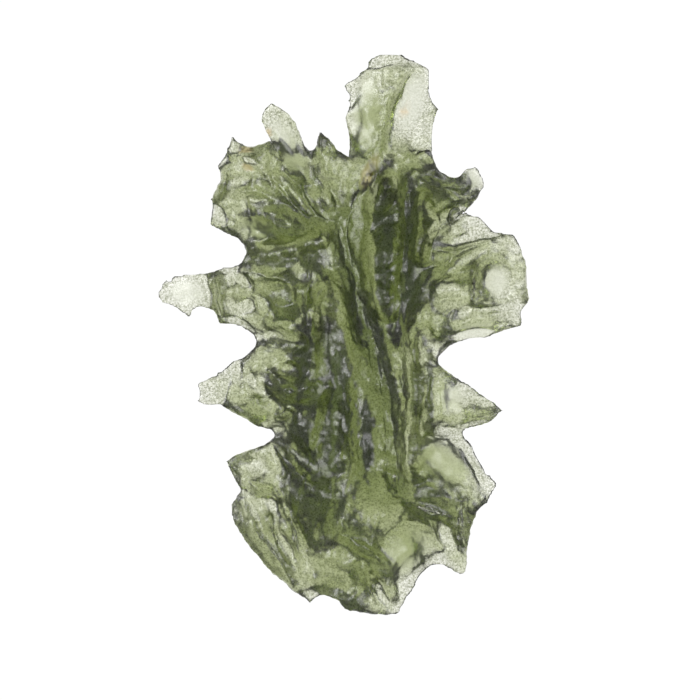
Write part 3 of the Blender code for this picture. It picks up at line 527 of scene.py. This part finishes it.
def etchedGlass():
    # natural bottle-green glass, melted once and then etched by the soil: light comes through it,
    # pale green where it is thin and dark where it is thick, and its skin has a fine sparkle of frost,
    # with painted shade darkening the pits of its grain
    material = bpy.data.materials.new("etched bottle-green glass")
    material.use_nodes = True
    tree = material.node_tree
    tree.nodes.clear()
    place = addNode(tree, "ShaderNodeTexCoord").outputs["Object"]
    frost = addNode(tree, "ShaderNodeAttribute", {"attribute_name": "frost"}).outputs["Fac"]
    stain = addNode(tree, "ShaderNodeAttribute", {"attribute_name": "clay"}).outputs["Fac"]
    grain = addNode(tree, "ShaderNodeTexNoise", {
        "Scale": 1 / (glass["grain"] * mm), "Detail": glass["grainDetail"],
        "Roughness": glass["grainContrast"]}, {"Vector": place}).outputs["Fac"]
    bump = addNode(tree, "ShaderNodeBump", {"Distance": glass["relief"] * mm},
                   {"Height": grain, "Strength": frost})
    # painted shade: the grain's low spots, the dips of its bump, get the darker pit colour, and the
    # crests keep the near-white frost colour
    shadedPits = addNode(tree, "ShaderNodeMapRange", {
        "From Min": glass["shadedPits"][0], "From Max": glass["shadedPits"][1]}, {"Value": grain}).outputs["Result"]
    frostAndPitShade = mixColour(tree, shadedPits, linear(glass["pitShadeColour"]), linear(glass["grainColour"]))
    skin = mixColour(tree, frost, linear(glass["clearColour"]), frostAndPitShade)
    stained = mixColour(tree, stain, skin, linear(glass["clayColour"]))
    shader = addNode(tree, "ShaderNodeBsdfPrincipled", {
        "IOR": glass["ior"], "Transmission Weight": glass["clear"], "Roughness": glass["roughness"],
    }, {"Base Color": stained, "Normal": bump.outputs["Normal"]})
    absorb = addNode(tree, "ShaderNodeVolumeAbsorption", {
        "Color": linear(glass["depthColour"]), "Density": glass["density"]})
    out = addNode(tree, "ShaderNodeOutputMaterial")
    tree.links.new(shader.outputs["BSDF"], out.inputs["Surface"])
    tree.links.new(absorb.outputs["Volume"], out.inputs["Volume"])
    return material


# the light table's half width and its drop below the stone, in metres, and its brightness
table = {"halfWidth": 0.6, "drop": 0.0001, "glow": 0.5}


def lightTable():
    bm = bmesh.new()
    bmesh.ops.create_grid(bm, x_segments=1, y_segments=1, size=table["halfWidth"])
    bmesh.ops.translate(bm, vec=(0, 0, -table["drop"]), verts=bm.verts)
    mesh = bpy.data.meshes.new("light_table")
    bm.to_mesh(mesh)
    bm.free()
    obj = bpy.data.objects.new("light_table", mesh)
    bpy.context.scene.collection.objects.link(obj)
    # opal acrylic lit from behind, which gives an even white with no shadow
    material = bpy.data.materials.new("opal light panel")
    material.use_nodes = True
    tree = material.node_tree
    tree.nodes.clear()
    light = addNode(tree, "ShaderNodeEmission", {"Strength": table["glow"]})
    out = addNode(tree, "ShaderNodeOutputMaterial")
    tree.links.new(light.outputs[0], out.inputs["Surface"])
    mesh.materials.append(material)
    return obj


# the lamps, in metres, watts and degrees; the panel shines up through the stone
lamps = {
    "panel": {"place": (0, 0, -0.00005), "aim": (0, 0, 1), "size": 0.16, "power": 0.024, "spread": 140},
    "key": {"place": (0.24, 0.1, 0.3), "aim": (0, 0, 0), "size": 0.3, "power": 1.5, "spread": 180},
    "fill": {"place": (-0.25, 0.12, 0.25), "aim": (0, 0, 0), "size": 0.2, "power": 1.2, "spread": 180},
}
room = {"colour": "ffffff", "brightness": 0.5}


def softLight(name, lamp):
    light = bpy.data.lights.new(name, "AREA")
    light.size = lamp["size"]
    light.energy = lamp["power"]
    light.spread = math.radians(lamp["spread"])
    obj = bpy.data.objects.new(name, light)
    bpy.context.scene.collection.objects.link(obj)
    obj.location = lamp["place"]
    obj.rotation_mode = "QUATERNION"
    obj.rotation_quaternion = (Vector(lamp["aim"]) - Vector(lamp["place"])).to_track_quat("-Z", "Y")
    return obj


glassStone = buildStone()
glassStone.data.materials.clear()
glassStone.data.materials.append(etchedGlass())
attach(glassStone, "root")
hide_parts("moldavite")

lightTable()
lights = {name: softLight(name, lamp) for name, lamp in lamps.items()}
lights["panel"].visible_camera = True
world = bpy.data.worlds.new("soft room")
bpy.context.scene.world = world
world.use_nodes = True
background = world.node_tree.nodes["Background"]
background.inputs["Color"].default_value = linear(room["colour"])
background.inputs["Strength"].default_value = room["brightness"]

# the photograph shows 50 mm across its frame, with the stone a little left of and above the middle
view = {"distance": 1.0, "across": 50 * mm, "aim": (0.43 * mm, -1.07 * mm, 5 * mm)}
camera = bpy.data.cameras.new("camera")
camera.lens = camera.sensor_width * view["distance"] / view["across"]
eye = bpy.data.objects.new("camera", camera)
bpy.context.scene.collection.objects.link(eye)
eye.location = Vector(view["aim"]) + Vector((0, 0, view["distance"]))
bpy.context.scene.camera = eye
bpy.context.scene.view_settings.view_transform = "Standard"

print("stone, light table, lights and camera are in place")
